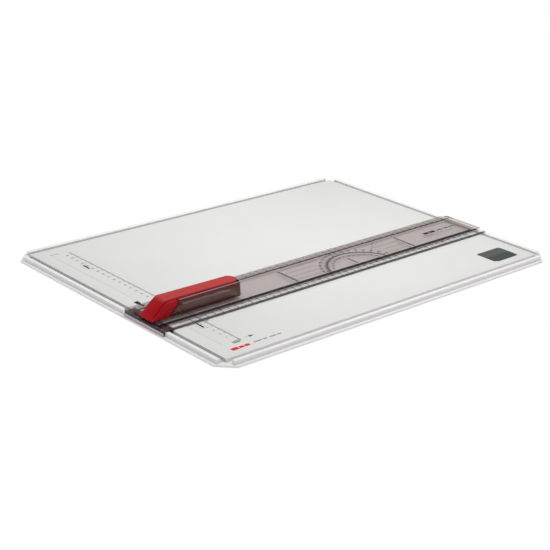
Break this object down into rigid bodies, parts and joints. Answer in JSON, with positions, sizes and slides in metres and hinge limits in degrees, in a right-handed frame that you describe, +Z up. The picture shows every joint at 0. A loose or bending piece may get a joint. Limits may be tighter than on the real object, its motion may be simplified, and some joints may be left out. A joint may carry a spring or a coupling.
{
  "type": "portable drawing board",
  "caption": "Flat drawing board with grooved edges, paper clamp bar, magnetic corner clip and a clear tinted parallel rail with a rocking brake key.",
  "frame": {"origin": "under the middle of the board, at the level its rubber feet stand on", "axes": "+X along the board's length, from the clamp bar to the corner clip; +Y across it, away from the user, the way the rail slides; +Z up out of the drawing surface"},
  "size_m": [0.495, 0.374, 0.0313],
  "materials": {
    "shell_white": "satin, fine grain",
    "cover_grey": "fine grain",
    "screw_steel": "zinc plated",
    "foot_rubber": "matt",
    "clamp_white": "satin",
    "pin_steel": "ground",
    "spring_steel": "bright",
    "clip_grey": "satin, dark grey-green",
    "magnet_nickel": "nickel plated",
    "keeper_steel": "plain sheet",
    "rail_smoke": "clear, brown-grey tint, polished",
    "shoe_black": "smooth",
    "housing_smoke": "clear, brown-grey tint, polished",
    "block_black": "moulded",
    "key_red": "satin gloss",
    "pad_rubber": "matt"
  },
  "bodies": {
    "board": {"top_shell": "shell_white", "base_cover": "cover_grey", "base_screw_1": "screw_steel", "base_screw_2": "screw_steel", "base_screw_3": "screw_steel", "base_screw_4": "screw_steel", "base_screw_5": "screw_steel", "base_screw_6": "screw_steel", "foot_front_left": "foot_rubber", "foot_front_right": "foot_rubber", "foot_rear_left": "foot_rubber", "foot_rear_right": "foot_rubber", "clamp_pin_front": "pin_steel", "clamp_pin_rear": "pin_steel", "clamp_spring_front": "spring_steel", "clamp_spring_rear": "spring_steel", "keeper_plate": "keeper_steel"},
    "rail": {"rail_blade": "rail_smoke", "guide_shoe_front": "shoe_black", "guide_shoe_rear": "shoe_black", "key_housing": "housing_smoke", "pivot_block": "block_black", "key_pin": "pin_steel", "key_spring": "spring_steel"},
    "key": {"lock_key": "key_red"},
    "brake": {"brake_plunger": "block_black", "brake_pad": "pad_rubber"},
    "clamp": {"clamp_bar": "clamp_white"},
    "clip": {"corner_clip": "clip_grey", "clip_magnet": "magnet_nickel"}
  },
  "joints": [
    {"name": "rail_slide", "type": "slide", "parent": "board", "child": "rail", "axis": [0, 1, 0], "range_m": [-0.084, 0.194]},
    {"name": "key_rock", "type": "hinge", "parent": "rail", "child": "key", "pos_m": [-0.222, -0.0578, 0.02], "axis": [0, 1, 0], "range_deg": [0, 2], "stiffness_Nm_per_rad": 4, "springref_deg": -2.86, "deforming": ["key_spring"]},
    {"name": "brake_lift", "type": "slide", "parent": "rail", "child": "brake", "axis": [0, 0, 1], "range_m": [0, 0.0005]},
    {"name": "clamp_rock", "type": "hinge", "parent": "board", "child": "clamp", "pos_m": [-0.205, 0, 0.0063], "axis": [0, -1, 0], "range_deg": [0, 2.2], "stiffness_Nm_per_rad": 2, "springref_deg": -3.44, "deforming": ["clamp_spring_front", "clamp_spring_rear"]},
    {"name": "clip_lift", "type": "slide", "parent": "board", "child": "clip", "axis": [0, 0, 1], "range_m": [0, 0.02]}
  ],
  "couplings": [
    {"joint": "brake_lift", "follows": "key_rock", "m_per_rad": 0.01395}
  ]
}
